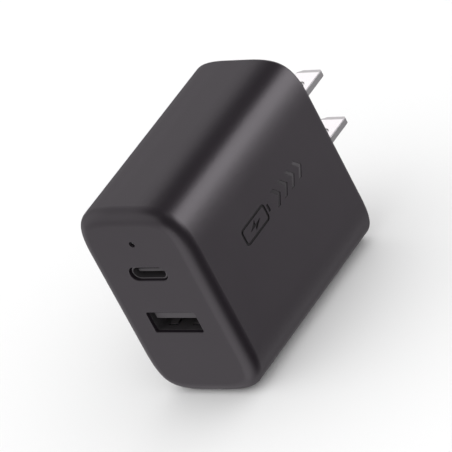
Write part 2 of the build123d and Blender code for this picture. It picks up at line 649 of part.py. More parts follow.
with BuildPart() as transformer_bobbin:
    sleeve_size = (CORE_DEPTH + 2 * (BOBBIN_WALL + FIT), CORE_MIDDLE_LEG + 2 * (BOBBIN_WALL + FIT))
    with BuildSketch(facing_right(BOBBIN_LOW_X)):
        with Locations((transformer_y, transformer_z)):
            RectangleRounded(*sleeve_size, 1.4)
    extrude(amount=BOBBIN_HIGH_X - BOBBIN_LOW_X)
    for flange_x in (BOBBIN_LOW_X, BOBBIN_HIGH_X - BOBBIN_FLANGE):
        with BuildSketch(facing_right(flange_x)):
            with Locations((transformer_y, transformer_z)):
                RectangleRounded(BOBBIN_DEPTH, BOBBIN_WIDTH, 0.6)
        extrude(amount=BOBBIN_FLANGE)
    # feet that hold the pins, in front of and behind the core
    with BuildSketch(facing_right(SEAT_X)):
        for side in (-1, 1):
            with Locations((transformer_y + side * TRANSFORMER_PIN_ROW / 2, transformer_z)):
                Rectangle(3.0, BOBBIN_WIDTH)
    extrude(amount=BOBBIN_LOW_X - SEAT_X)
    with BuildSketch(facing_right(BOBBIN_LOW_X)):
        with Locations((transformer_y, transformer_z)):
            RectangleRounded(CORE_DEPTH + 2 * FIT, CORE_MIDDLE_LEG + 2 * FIT, 1.0)
    extrude(amount=BOBBIN_HIGH_X - BOBBIN_LOW_X, mode=Mode.SUBTRACT)
write(transformer_bobbin, "transformer_bobbin")

with BuildPart() as transformer_winding:
    with BuildSketch(facing_right(BOBBIN_LOW_X + BOBBIN_FLANGE + FIT)):
        with Locations((transformer_y, transformer_z)):
            RectangleRounded(BOBBIN_DEPTH - 0.8, BOBBIN_WIDTH - 0.8, 2.4)
            RectangleRounded(
                sleeve_size[0] + 2 * FIT, sleeve_size[1] + 2 * FIT, 1.4, mode=Mode.SUBTRACT
            )
    extrude(amount=BOBBIN_HIGH_X - BOBBIN_LOW_X - 2 * (BOBBIN_FLANGE + FIT))
write(transformer_winding, "transformer_winding")

with BuildPart() as transformer_pins:
    with BuildSketch(facing_right(LEAD_END_X)):
        with Locations(*transformer_pin_places()):
            Circle(LEAD_DIAMETER / 2)
    extrude(amount=SEAT_X - LEAD_END_X)
write(transformer_pins, "transformer_pins")

# --- electrolytic capacitors, each a sleeved can with a crimp groove ----------------------------------
CRIMP_HEIGHT = 1.6
CRIMP_WIDTH = 0.8
CRIMP_DEPTH = 0.35
CAN_TOP_RADIUS = 0.5

for name, (cap_y, cap_z, diameter, height, _) in CAPACITOR_PLACES.items():
    with BuildPart() as capacitor:
        with BuildSketch(facing_right(SEAT_X)):
            with Locations((cap_y, cap_z)):
                Circle(diameter / 2)
        extrude(amount=height)
        fillet(capacitor.faces().sort_by(Axis.X)[-1].edges(), CAN_TOP_RADIUS)
        with BuildSketch(facing_right(SEAT_X + CRIMP_HEIGHT)):
            with Locations((cap_y, cap_z)):
                Circle(diameter / 2 + OVERLAP)
                Circle(diameter / 2 - CRIMP_DEPTH, mode=Mode.SUBTRACT)
        extrude(amount=CRIMP_WIDTH, mode=Mode.SUBTRACT)
    write(capacitor, name)

# --- mains input parts: fuse, thermistor, choke and the capacitor across the barrier -------------------
FUSE = (4.0, 7.6, 7.4)  # along Y, along Z, height
THERMISTOR_DIAMETER = 5.0
THERMISTOR_THICKNESS = 2.4
Y_CAPACITOR_DIAMETER = 7.0
Y_CAPACITOR_THICKNESS = 2.8
CHOKE_DIAMETER = 7.8
CHOKE_HOLE_DIAMETER = 4.4
CHOKE_HEIGHT = 3.0
CHOKE_BASE_X = SEAT_X + 0.6
WIRE = 0.42
WIRE_CLEARANCE = 0.03
TURNS_PER_BANK = 7
TURN_STEP = 17  # degrees

with BuildPart() as fuse:
    with BuildSketch(facing_right(SEAT_X)):
        with Locations(FUSE_PLACE):
            RectangleRounded(*FUSE[:2], 0.5)
    extrude(amount=FUSE[2])
    fillet(fuse.faces().sort_by(Axis.X)[-1].edges(), 0.4)
write(fuse, "fuse")

with BuildPart() as inrush_thermistor:
    thermistor_y, thermistor_z = THERMISTOR_PLACE
    with BuildSketch(facing_front(thermistor_y + THERMISTOR_THICKNESS / 2)):
        with Locations((SEAT_X + THERMISTOR_DIAMETER / 2, thermistor_z)):
            Circle(THERMISTOR_DIAMETER / 2)
    extrude(amount=THERMISTOR_THICKNESS)
    fillet(inrush_thermistor.edges(), THERMISTOR_THICKNESS / 4)
write(inrush_thermistor, "inrush_thermistor")

with BuildPart() as y_capacitor:
    disc_y, disc_z = Y_CAPACITOR_PLACE
    with BuildSketch(Plane.XY.offset(disc_z - Y_CAPACITOR_THICKNESS / 2)):
        with Locations((SEAT_X + Y_CAPACITOR_DIAMETER / 2, disc_y)):
            Circle(Y_CAPACITOR_DIAMETER / 2)
    extrude(amount=Y_CAPACITOR_THICKNESS)
    fillet(y_capacitor.edges(), 0.8)
write(y_capacitor, "y_capacitor")

with BuildPart() as choke_core:
    with BuildSketch(facing_right(CHOKE_BASE_X)):
        with Locations(CHOKE_PLACE):
            Circle(CHOKE_DIAMETER / 2)
            Circle(CHOKE_HOLE_DIAMETER / 2, mode=Mode.SUBTRACT)
    extrude(amount=CHOKE_HEIGHT)
write(choke_core, "choke_core")

with BuildPart() as choke_winding:
    choke_y, choke_z = CHOKE_PLACE
    turn_x = CHOKE_BASE_X + CHOKE_HEIGHT / 2
    turn_radius = (CHOKE_DIAMETER + CHOKE_HOLE_DIAMETER) / 4
    wrapped_width = (CHOKE_DIAMETER - CHOKE_HOLE_DIAMETER) / 2 + 2 * WIRE_CLEARANCE
    wrapped_height = CHOKE_HEIGHT + 2 * WIRE_CLEARANCE
    for bank in (90, 270):
        for i in range(TURNS_PER_BANK):
            angle = radians(bank + (i - (TURNS_PER_BANK - 1) / 2) * TURN_STEP)
            outward = (0, cos(angle), sin(angle))
            around = (0, -sin(angle), cos(angle))
            with BuildSketch(Plane(origin=(turn_x, choke_y, choke_z), x_dir=outward, z_dir=around)):
                with Locations((turn_radius, 0)):
                    Rectangle(wrapped_width + 2 * WIRE, wrapped_height + 2 * WIRE)
                    Rectangle(wrapped_width, wrapped_height, mode=Mode.SUBTRACT)
            extrude(amount=WIRE / 2, both=True)
write(choke_winding, "choke_winding")

# --- chips on the solder side, each a moulded block: (y, z, length along Y, width along Z, height) -------
SOLDER_SIDE_CHIPS = {
    "bridge_rectifier": (-20.6, -6.4, 5.0, 4.8, 1.6),
    "power_switch": (-25.4, 2.6, 6.4, 6.0, 2.2),
    "primary_controller": (-25.0, 11.2, 5.0, 4.0, 1.5),
    "optocoupler": (*OPTOCOUPLER_PLACE, 6.4, 4.6, 2.0),
    "sync_rectifier": (-41.0, 11.5, 5.0, 6.0, 1.1),
    "protocol_controller": (-42.5, -6.0, 4.0, 4.0, 0.9),
}
CHIP_TOP_CHAMFER = 0.15
for name, (chip_y, chip_z, length, width, height) in SOLDER_SIDE_CHIPS.items():
    with BuildPart() as chip:
        with BuildSketch(facing_right(BOARD_BACK_X)):
            with Locations((chip_y, chip_z)):
                RectangleRounded(length, width, 0.3)
        extrude(amount=-height)
        chamfer(chip.faces().sort_by(Axis.X)[0].edges(), CHIP_TOP_CHAMFER)
    write(chip, name)

SMALL_CHIP = (1.6, 0.8, 0.55)  # along Y, along Z, height
SMALL_CHIP_STEP = (2.6, 1.8)
SMALL_CHIP_GROUPS = [
    # middle (y, z), and how many along Y and Z
    ((-31.6, -13.5), 3, 4),
    ((-22.0, 16.4), 3, 3),
    ((-42.0, 17.4), 4, 1),
]

with BuildPart() as small_chips:
    with BuildSketch(facing_right(BOARD_BACK_X)):
        for middle, along_y, along_z in SMALL_CHIP_GROUPS:
            with Locations(middle):
                with GridLocations(*SMALL_CHIP_STEP, along_y, along_z):
                    Rectangle(*SMALL_CHIP[:2])
    extrude(amount=-SMALL_CHIP[2])
write(small_chips, "small_chips")

# --- insulation and heat path ---------------------------------------------------------------------------
SHEET_SIZE = (17.6, 25.0)
SHEET_MIDDLE = (1.4, 4.0)
SHEET_THICKNESS = 0.2
SHEET_FRONT_Y = PORT_BOARD_REAR_Y + 0.35
SPREADER_SIZE = (36.0, 25.0)
SPREADER_THICKNESS = 0.6
SPREADER_X = INNER_WIDTH / 2 - SPREADER_THICKNESS
PAD_WIDTH = 17.0
PAD_LOW_X = CORE_BASE_X + 2 * CORE_HALF_HEIGHT

with BuildPart() as insulation_sheet:
    with BuildSketch(facing_front(SHEET_FRONT_Y + SHEET_THICKNESS)):
        with Locations(SHEET_MIDDLE):
            Rectangle(*SHEET_SIZE)
    extrude(amount=SHEET_THICKNESS)
write(insulation_sheet, "insulation_sheet")

with BuildPart() as heat_spreader:
    with BuildSketch(facing_right(SPREADER_X)):
        with Locations((-28.0, 0)):
            RectangleRounded(*SPREADER_SIZE, 1.5)
    extrude(amount=SPREADER_THICKNESS)
write(heat_spreader, "heat_spreader")

with BuildPart() as thermal_pad:
    with BuildSketch(facing_right(PAD_LOW_X)):
        with Locations((transformer_y, 5.0)):
            Rectangle(CORE_DEPTH - 0.6, PAD_WIDTH)
    extrude(amount=SPREADER_X - PAD_LOW_X)
write(thermal_pad, "thermal_pad")
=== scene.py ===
import json
from math import cos, pi, radians, sin

import bpy
from mathutils import Matrix, Vector


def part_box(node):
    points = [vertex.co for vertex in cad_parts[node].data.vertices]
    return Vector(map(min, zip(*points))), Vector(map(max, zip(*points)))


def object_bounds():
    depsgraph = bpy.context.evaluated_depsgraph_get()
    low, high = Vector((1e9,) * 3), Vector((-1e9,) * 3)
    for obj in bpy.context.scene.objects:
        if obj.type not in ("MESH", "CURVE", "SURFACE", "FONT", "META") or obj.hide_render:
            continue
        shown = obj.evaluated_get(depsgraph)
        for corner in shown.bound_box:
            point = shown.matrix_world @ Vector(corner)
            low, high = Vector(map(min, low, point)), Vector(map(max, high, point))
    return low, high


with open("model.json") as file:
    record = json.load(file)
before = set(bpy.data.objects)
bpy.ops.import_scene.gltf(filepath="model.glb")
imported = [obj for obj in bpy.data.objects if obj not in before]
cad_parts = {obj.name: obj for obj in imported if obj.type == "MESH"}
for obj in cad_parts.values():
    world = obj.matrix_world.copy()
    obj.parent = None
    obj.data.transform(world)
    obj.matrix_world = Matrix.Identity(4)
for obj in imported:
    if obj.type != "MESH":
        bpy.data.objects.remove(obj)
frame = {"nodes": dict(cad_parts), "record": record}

MM = 0.001
cad_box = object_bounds()
housing_low, housing_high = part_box("housing_shell")
body_middle = (housing_low + housing_high) / 2


# --- shader writing -------------------------------------------------------------------------------
PERIODS_BELOW_ZERO = 1000  # keeps a repeated place positive on the whole object
STRETCH_SOFTNESS = 0.01 * MM  # over which a masked stretch fades in


class Value:
    """One output of a shader node. Arithmetic on values adds Math nodes beside it."""

    def __init__(self, finish, socket):
        self.finish, self.socket = finish, socket

    def maths(self, operation, *terms):
        return self.finish.node("ShaderNodeMath", {"operation": operation}, terms)

    def __add__(self, other):
        return self.maths("ADD", self, other)

    __radd__ = __add__

    def __sub__(self, other):
        return self.maths("SUBTRACT", self, other)

    def __rsub__(self, other):
        return self.maths("SUBTRACT", other, self)

    def __mul__(self, other):
        return self.maths("MULTIPLY", self, other)

    __rmul__ = __mul__

    def __truediv__(self, other):
        return self.maths("DIVIDE", self, other)

    def __gt__(self, other):
        return self.maths("GREATER_THAN", self, other)

    def __lt__(self, other):
        return self.maths("LESS_THAN", self, other)

    def __abs__(self):
        return self.maths("ABSOLUTE", self)

    def wave(self, period):
        """A sine from -1 to 1 that repeats every period."""
        return self.maths("SINE", self * (2 * pi / period))

    def repeat(self, period):
        """The place within its own period, from 0 to period."""
        return self.maths("MODULO", self.maths("ADD", self, PERIODS_BELOW_ZERO * period), period)

    def step(self, low, high):
        """0 below low, 1 above high, and smooth between them."""
        settings = {"interpolation_type": "SMOOTHSTEP"}
        return self.finish.node("ShaderNodeMapRange", settings, [self, low, high, 0.0, 1.0])


class Finish:
    """A node tree under construction, with the few kinds of node that the finishes are made of."""

    def __init__(self, tree, coordinates="Object"):
        self.tree = tree
        tree.nodes.clear()
        self.place = self.node("ShaderNodeTexCoord", output=coordinates)

    def node(self, kind, settings=None, inputs=(), output=0):
        """A node of any kind, with its settings and with values or links in its sockets."""
        made = self.tree.nodes.new(kind)
        for name, setting in (settings or {}).items():
            setattr(made, name, setting)
        named = inputs.items() if isinstance(inputs, dict) else enumerate(inputs)
        for name, value in named:
            if isinstance(value, Value):
                self.tree.links.new(value.socket, made.inputs[name])
            elif value is not None:
                made.inputs[name].default_value = value
        return Value(self, made.outputs[output]) if made.outputs else made

    def axis(self, name):
        """The place along X, Y or Z, in metres."""
        return self.node("ShaderNodeSeparateXYZ", inputs=[self.place], output=name)

    def stretched(self, scales):
        return self.node("ShaderNodeVectorMath", {"operation": "MULTIPLY"}, [self.place, scales])

    def noise(self, size, detail=2.0, roughness=0.5, scales=(1, 1, 1)):
        """Cloudy noise from 0 to 1 whose blobs measure size, in metres."""
        inputs = {"Vector": self.stretched(scales), "Scale": 1 / size}
        inputs.update({"Detail": detail, "Roughness": roughness})
        return self.node("ShaderNodeTexNoise", inputs=inputs, output=0)

    def cells(self, size, scales=(1, 1, 1)):
        """Distance to the middle of the nearest cell, for grains and specks that measure size."""
        inputs = {"Vector": self.stretched(scales), "Scale": 1 / size}
        return self.node("ShaderNodeTexVoronoi", inputs=inputs, output="Distance")

    def between(self, along, low, high, soft=STRETCH_SOFTNESS):
        """1 where the place along an axis is between low and high."""
        return along.step(low - soft, low + soft) * (1 - along.step(high - soft, high + soft))

    def mix(self, first, second, factor):
        """A colour that turns from first to second."""
        colours = [c if isinstance(c, Value) else (*c, 1.0) for c in (first, second)]
        inputs = {0: factor, 6: colours[0], 7: colours[1]}
        return self.node("ShaderNodeMix", {"data_type": "RGBA"}, inputs, output=2)

    def bump(self, height, depth):
        """A normal from a height of 0 to 1 that stands for depth, in metres."""
        return self.node("ShaderNodeBump", inputs={"Strength": 1.0, "Distance": depth, "Height": height})

    def surface(self, colour, roughness, normal=None, metallic=0.0, **constants):
        """Closes the finish with its surface shader, and hands back the material."""
        inputs = {"Base Color": colour, "Roughness": roughness, "Metallic": metallic, "Normal": normal}
        inputs.update({key.replace("_", " "): value for key, value in constants.items()})
        shader = self.node("ShaderNodeBsdfPrincipled", inputs=inputs)
        self.node("ShaderNodeOutputMaterial", inputs={"Surface": shader})
        return self.material


def new_finish(name):
    """A finish that is written into a new material of that name."""
    material = bpy.data.materials.new(name)
    material.use_nodes = True
    finish = Finish(material.node_tree)
    finish.material = material
    return finish


# --- moulded plastics -----------------------------------------------------------------------------
# A finish's colour runs between two ends, dark and light unless it says otherwise.
SHELL_BLACK = (0.0128, 0.0096, 0.0130), (0.0156, 0.0122, 0.0157)
# The emblem floor's two colours are a painted reflection: dark at the front end, light at the rear end.
EMBLEM_PAINTED_REFLECTION = (0.002, 0.002, 0.002), (0.060, 0.056, 0.060)  # front end, rear end
COVER_BLACK = (0.011, 0.0105, 0.0112), (0.0155, 0.015, 0.0155)
SOCKET_BLACK = (0.034, 0.031, 0.034), (0.050, 0.047, 0.050)
PIPE_FROST = (0.30, 0.31, 0.32), (0.38, 0.39, 0.40)

# The emblem is a recess in the shell's right side, with a polished floor.
EMBLEM_MIDDLE = Vector((0, -24.2, 4.9)) * MM
EMBLEM_HALF_LENGTH = 13 * MM
EMBLEM_HALF_HEIGHT = 2.6 * MM
EMBLEM_FLOOR_DEPTH = 0.15 * MM
# Where the painted reflection on the emblem floor steps lighter.
CHEVRONS_START = -24 * MM  # between the battery and the first chevron
CHEVRONS_FADE = 2 * MM
PLASTIC_SHINE = 0.42  # specular level of the moulded plastics
SHELL_SHINE = 0.40
ACRYLIC_IOR = 1.49


def satin_black_shell():
    f = new_finish("satin_black_shell")
    x, y, z = f.axis("X"), f.axis("Y"), f.axis("Z")
    mottle = f.noise(9 * MM, detail=3)
    grain = f.noise(0.22 * MM, detail=2, roughness=0.6)
    face = housing_high.x
    front, rear = EMBLEM_MIDDLE.y - EMBLEM_HALF_LENGTH, EMBLEM_MIDDLE.y + EMBLEM_HALF_LENGTH
    bottom, top = EMBLEM_MIDDLE.z - EMBLEM_HALF_HEIGHT, EMBLEM_MIDDLE.z + EMBLEM_HALF_HEIGHT
    emblem = f.between(x, face - 1.5 * EMBLEM_FLOOR_DEPTH, face - 0.5 * EMBLEM_FLOOR_DEPTH)
    emblem = emblem * f.between(y, front, rear)
    emblem = emblem * f.between(z, bottom, top)
    satin = f.mix(*SHELL_BLACK, mottle)
    # Painted reflection on the emblem floor: dark at the front end, a step lighter past the battery,
    # then lighter towards the rear.
    painted_reflection_step = y.step(CHEVRONS_START - CHEVRONS_FADE, CHEVRONS_START)
    painted_reflection_ramp = 0.35 * painted_reflection_step + 0.65 * y.step(CHEVRONS_START, rear)
    emblem_painted_reflection = f.mix(*EMBLEM_PAINTED_REFLECTION, painted_reflection_ramp)
    colour = f.mix(satin, emblem_painted_reflection, emblem)
    roughness = (0.29 + 0.05 * mottle + 0.04 * grain) * (1 - 0.62 * emblem)
    normal = f.bump(grain * (1 - emblem), 0.004 * MM)
    return f.surface(colour, roughness, normal, Specular_IOR_Level=SHELL_SHINE)


def matt_black_cover():
    f = new_finish("matt_black_cover")
    mottle = f.noise(6 * MM, detail=3)
    grain = f.noise(0.3 * MM, detail=3, roughness=0.65)
    colour = f.mix(*COVER_BLACK, mottle)
    normal = f.bump(grain, 0.012 * MM)
    return f.surface(colour, 0.42 + 0.1 * grain, normal, Specular_IOR_Level=PLASTIC_SHINE)


def black_socket_plastic():
    f = new_finish("black_socket_plastic")
    fibres = f.noise(0.12 * MM, detail=2, scales=(1, 0.15, 1))
    mottle = f.noise(1.5 * MM)
    colour = f.mix(*SOCKET_BLACK, fibres)
    roughness = 0.36 + 0.12 * mottle
    return f.surface(colour, roughness, f.bump(fibres, 0.004 * MM), Specular_IOR_Level=PLASTIC_SHINE)


def frosted_pipe():
    f = new_finish("frosted_pipe")
    haze = f.noise(0.4 * MM, detail=3)
    colour = f.mix(*PIPE_FROST, haze)
    normal = f.bump(haze, 0.003 * MM)
    return f.surface(colour, 0.38 + 0.14 * haze, normal, IOR=ACRYLIC_IOR, Transmission_Weight=0.25)


# --- metals ---------------------------------------------------------------------------------------
NICKEL = (0.90, 0.895, 0.88), (0.98, 0.975, 0.965)
NICKEL_SPECK = (0.60, 0.57, 0.52)
SHEARED_EDGE = (0.26, 0.26, 0.26)
BLACK_PLATE = (0.050, 0.047, 0.050), (0.085, 0.080, 0.085)
TIN = (0.58, 0.58, 0.57), (0.76, 0.76, 0.74)
GOLD = (0.78, 0.53, 0.20), (0.95, 0.72, 0.36)
BRONZE = (0.70, 0.47, 0.24), (0.46, 0.27, 0.13)  # clean, tarnished
ALUMINIUM = (0.70, 0.71, 0.72), (0.84, 0.85, 0.86)
COPPER_ENAMEL = (0.36, 0.10, 0.035), (0.62, 0.24, 0.09)

BLADE_HALF_WIDTH = 3.175 * MM
BLADE_EDGE_RADIUS = 0.15 * MM
NICKEL_METALLIC = 0.8  # the rest is a haze of its own colour
BLACK_PLATE_METALLIC = 0.5  # the rest is dull black oxide


def bright_nickel():
    """Bright plate over the blades' rolled faces, and a duller grey on their sheared long edges."""
    f = new_finish("bright_nickel")
    drawn = f.noise(0.16 * MM, detail=4, roughness=0.6, scales=(1, 0.02, 1))
    smears = f.noise(3.5 * MM, detail=3)
    specks = 1 - f.cells(0.9 * MM).step(0.0, 0.09)
    colour = f.mix(*NICKEL, drawn)
    colour = f.mix(colour, NICKEL_SPECK, 0.35 * specks * smears)
    inner = BLADE_HALF_WIDTH - BLADE_EDGE_RADIUS
    sheared = abs(f.axis("X")).step(inner, inner + 0.6 * BLADE_EDGE_RADIUS)
    colour = f.mix(colour, SHEARED_EDGE, sheared)
    roughness = 0.09 + 0.07 * drawn + 0.05 * smears + 0.22 * sheared
    return f.surface(colour, roughness, f.bump(drawn, 0.004 * MM), metallic=NICKEL_METALLIC)


def black_plated_steel():
    f = new_finish("black_plated_steel")
    rolled = f.noise(0.2 * MM, detail=4, scales=(1, 0.06, 1))
    stains = f.noise(2.2 * MM, detail=3)
    colour = f.mix(*BLACK_PLATE, stains)
    roughness = 0.30 + 0.16 * rolled
    return f.surface(colour, roughness, f.bump(rolled, 0.004 * MM), metallic=BLACK_PLATE_METALLIC)


def tinned_wire():
    f = new_finish("tinned_wire")
    frost = f.noise(0.25 * MM, detail=3)
    colour = f.mix(*TIN, frost)
    return f.surface(colour, 0.22 + 0.25 * frost, f.bump(frost, 0.01 * MM), metallic=1.0)


def gold_contacts():
    f = new_finish("gold_contacts")
    polish = f.noise(0.12 * MM, detail=3, scales=(1, 0.1, 1))
    colour = f.mix(*GOLD, polish)
    return f.surface(colour, 0.16 + 0.16 * polish, f.bump(polish, 0.002 * MM), metallic=1.0)


def spring_bronze():
    f = new_finish("spring_bronze")
    rolled = f.noise(0.25 * MM, detail=4, scales=(0.08, 1, 1))
    tarnish = f.noise(1.8 * MM, detail=4)
    colour = f.mix(*BRONZE, tarnish.step(0.45, 0.75))
    return f.surface(colour, 0.22 + 0.2 * rolled, f.bump(rolled, 0.005 * MM), metallic=1.0)


def rolled_aluminium():
    f = new_finish("rolled_aluminium")
    rolled = f.noise(0.3 * MM, detail=5, scales=(1, 0.03, 1))
    colour = f.mix(*ALUMINIUM, rolled)
    return f.surface(colour, 0.28 + 0.16 * rolled, f.bump(rolled, 0.008 * MM), metallic=1.0)


def enamelled_copper():
    f = new_finish("enamelled_copper")
    depth = f.noise(0.7 * MM, detail=3)
    colour = f.mix(*COPPER_ENAMEL, depth)
    return f.surface(
        colour, 0.22 + 0.12 * depth, f.bump(depth, 0.01 * MM), metallic=0.8, Coat_Weight=0.6
    )


# --- the electronics inside -----------------------------------------------------------------------
SOLDER_MASK = (0.012, 0.085, 0.030), (0.020, 0.105, 0.038)
MASK_OVER_COPPER = (0.035, 0.20, 0.075)
SLEEVE_BLUE = (0.012, 0.016, 0.045), (0.02, 0.026, 0.065)
POLARITY_STRIPE = (0.42, 0.43, 0.46)
CAN_TOP = (0.72, 0.73, 0.74), (0.40, 0.41, 0.42)  # plain, scored
FERRITE = (0.030, 0.029, 0.030), (0.062, 0.060, 0.060)
FERRITE_CHIPPED = (0.11, 0.105, 0.10)
PHENOLIC = (0.016, 0.013, 0.010), (0.035, 0.028, 0.020)
YELLOW_TAPE = (0.62, 0.36, 0.025), (0.80, 0.52, 0.05)
TAPE_EDGE = (0.42, 0.20, 0.02)
CHIP_BLACK = (0.014, 0.014, 0.015), (0.030, 0.030, 0.031)
CERAMIC_TAN = (0.30, 0.20, 0.11), (0.42, 0.30, 0.18)
CERAMIC_END = (0.70, 0.70, 0.69)
Y_CAPACITOR_BLUE = (0.018, 0.085, 0.30), (0.035, 0.15, 0.46)
THERMISTOR_GREEN = (0.012, 0.045, 0.022), (0.025, 0.085, 0.040)
FUSE_BROWN = (0.030, 0.016, 0.009), (0.052, 0.028, 0.015)
FILM_AMBER = (0.55, 0.30, 0.05), (0.72, 0.44, 0.10)
PAD_GREY = (0.30, 0.32, 0.35), (0.40, 0.42, 0.45)
LIGHT_CHIP_COLOURS = (0.80, 0.62, 0.12), (0.82, 0.80, 0.74)  # lens, case

WEAVE_PITCH = 0.5 * MM
SIGNAL_PITCH = 1.6 * MM  # from track to track along Y
POWER_PITCH = 2.4 * MM  # from track to track along Z
CAN_SCORE_PITCH = 1.3 * MM
TAPE_LAP = 3.2 * MM
WINDING_WIRE_PITCH = 0.42 * MM
CHIP_PITCH = 1.8 * MM


def green_laminate():
    """Solder mask with raised copper tracks under it, and a woven cloth showing faintly."""
    f = new_finish("green_laminate")
    y, z = f.axis("Y"), f.axis("Z")
    weave = y.wave(WEAVE_PITCH) * z.wave(WEAVE_PITCH)
    bends = 1.2 * MM * f.noise(7 * MM, detail=1)
    run_y = abs((z + bends).repeat(SIGNAL_PITCH) - SIGNAL_PITCH / 2) < 0.3 * MM
    run_z = abs((y + bends).repeat(POWER_PITCH) - POWER_PITCH / 2) < 0.35 * MM
    patches = f.noise(5 * MM, detail=0).step(0.48, 0.52)
    tracks = run_y * patches + run_z * (1 - patches)
    green = f.mix(*SOLDER_MASK, 0.5 + 0.5 * weave)
    colour = f.mix(green, MASK_OVER_COPPER, tracks)
    return f.surface(colour, 0.30 + 0.1 * tracks, f.bump(tracks, 0.035 * MM), Coat_Weight=0.25)


def capacitor_sleeve():
    """A shrunk sleeve with a pale polarity stripe, and a bare scored can top."""
    f = new_finish("capacitor_sleeve")
    x, z = f.axis("X"), f.axis("Z")
    normal = f.node("ShaderNodeNewGeometry", output="Normal")
    normal_x = f.node("ShaderNodeSeparateXYZ", inputs=[normal], output="X")
    bare = (normal_x > 0.85) * (x > 0)
    stripe = f.noise(0.8 * MM, detail=0, scales=(0.02, 1, 1)).step(0.60, 0.62)
    shrink = f.noise(2.5 * MM, detail=3, scales=(0.3, 1, 1))
    sleeve = f.mix(*SLEEVE_BLUE, shrink)
    sleeve = f.mix(sleeve, POLARITY_STRIPE, stripe * 0.8)
    scoring = abs(z.repeat(CAN_SCORE_PITCH) - CAN_SCORE_PITCH / 2) < 0.08 * MM
    can = f.mix(*CAN_TOP, scoring)
    colour = f.mix(sleeve, can, bare)
    roughness = 0.26 + 0.1 * shrink
    return f.surface(colour, roughness, f.bump(shrink, 0.03 * MM), metallic=bare)


def ground_ferrite():
    f = new_finish("ground_ferrite")
    grain = f.noise(0.12 * MM, detail=4, roughness=0.7)
    chips = 1 - f.cells(1.1 * MM).step(0.05, 0.16)
    colour = f.mix(*FERRITE, grain)
    colour = f.mix(colour, FERRITE_CHIPPED, 0.5 * chips)
    return f.surface(colour, 0.45 + 0.2 * grain, f.bump(grain - 0.6 * chips, 0.03 * MM))


def phenolic_bobbin():
    f = new_finish("phenolic_bobbin")
    flow = f.noise(2.4 * MM, detail=4, scales=(1, 1, 0.4))
    colour = f.mix(*PHENOLIC, flow)
    return f.surface(colour, 0.38 + 0.15 * flow, f.bump(flow, 0.02 * MM))


def yellow_winding_tape():
    f = new_finish("yellow_winding_tape")
    x = f.axis("X")
    lap_edge = x.repeat(TAPE_LAP) < 0.18 * MM
    wires = 0.5 + 0.5 * x.wave(WINDING_WIRE_PITCH)
    wrinkles = f.noise(1.6 * MM, detail=4)
    colour = f.mix(*YELLOW_TAPE, wrinkles)
    colour = f.mix(colour, TAPE_EDGE, 0.6 * lap_edge)
    normal = f.bump(0.5 * wires + wrinkles + lap_edge, 0.04 * MM)
    return f.surface(colour, 0.24 + 0.14 * wrinkles, normal, Coat_Weight=0.4)


def moulded_chip():
    f = new_finish("moulded_chip")
    grain = f.noise(0.10 * MM, detail=3, roughness=0.7)
    fillers = f.cells(0.16 * MM).step(0.1, 0.5)
    colour = f.mix(*CHIP_BLACK, grain)
    return f.surface(colour, 0.48 + 0.16 * grain, f.bump(grain + 0.4 * fillers, 0.01 * MM))


def small_chip_ceramic():
    f = new_finish("small_chip_ceramic")
    z = f.axis("Z")
    ends = abs(z.repeat(CHIP_PITCH) - CHIP_PITCH / 2).step(0.2 * MM, 0.24 * MM)
    grain = f.noise(0.15 * MM, detail=3)
    body = f.mix(*CERAMIC_TAN, grain)
    colour = f.mix(body, CERAMIC_END, ends * 0.5)
    return f.surface(colour, 0.35 + 0.2 * grain, f.bump(grain, 0.01 * MM), metallic=ends * 0.5)


def dipped_coating(name, deep, light):
    """An epoxy-dipped disc, thick and glossy, with slow waves in its coat."""
    f = new_finish(name)
    runs = f.noise(2.2 * MM, detail=2)
    colour = f.mix(deep, light, runs)
    return f.surface(colour, 0.16 + 0.14 * runs, f.bump(runs, 0.12 * MM), Coat_Weight=0.5)


def y_capacitor_coat():
    return dipped_coating("blue_dipped_coat", *Y_CAPACITOR_BLUE)


def thermistor_coat():
    return dipped_coating("green_dipped_coat", *THERMISTOR_GREEN)


def fuse_case():
    f = new_finish("brown_fuse_case")
    flow = f.noise(1.7 * MM, detail=4)
    colour = f.mix(*FUSE_BROWN, flow)
    return f.surface(colour, 0.24 + 0.14 * flow, f.bump(flow, 0.02 * MM))


def amber_film():
    f = new_finish("amber_film")
    creases = f.noise(4.5 * MM, detail=5)
    colour = f.mix(*FILM_AMBER, creases)
    return f.surface(colour, 0.12 + 0.2 * creases, f.bump(creases, 0.05 * MM), Coat_Weight=0.3)


def grey_silicone_pad():
    f = new_finish("grey_silicone_pad")
    grain = f.noise(0.35 * MM, detail=4)
    dimples = f.cells(0.8 * MM)
    colour = f.mix(*PAD_GREY, grain)
    return f.surface(colour, 0.6 + 0.15 * grain, f.bump(dimples + 0.5 * grain, 0.05 * MM))


def light_chip():
    f = new_finish("light_chip")
    x = f.axis("X")
    lens = abs(x).step(0.45 * MM, 0.5 * MM)
    grain = f.noise(0.15 * MM, detail=2)
    colour = f.mix(*LIGHT_CHIP_COLOURS, lens)
    return f.surface(colour, 0.25 + 0.15 * grain, f.bump(grain, 0.006 * MM))


FINISHES = {
    "housing_plastic": satin_black_shell,
    "cover_plastic": matt_black_cover,
    "blade_metal": bright_nickel,
    "spring_brass": spring_bronze,
    "contact_metal": gold_contacts,
    "socket_steel": black_plated_steel,
    "socket_plastic": black_socket_plastic,
    "board_laminate": green_laminate,
    "lead_metal": tinned_wire,
    "capacitor_sleeve": capacitor_sleeve,
    "ferrite": ground_ferrite,
    "bobbin_plastic": phenolic_bobbin,
    "winding_tape": yellow_winding_tape,
    "choke_wire": enamelled_copper,
    "chip_plastic": moulded_chip,
    "small_chip_ceramic": small_chip_ceramic,
    "fuse_plastic": fuse_case,
    "thermistor_ceramic": thermistor_coat,
    "y_capacitor_ceramic": y_capacitor_coat,
    "insulating_film": amber_film,
    "pad_silicone": grey_silicone_pad,
    "spreader_aluminium": rolled_aluminium,
    "pipe_acrylic": frosted_pipe,
    "led_package": light_chip,
}
finishes = {slot: make() for slot, make in FINISHES.items()}
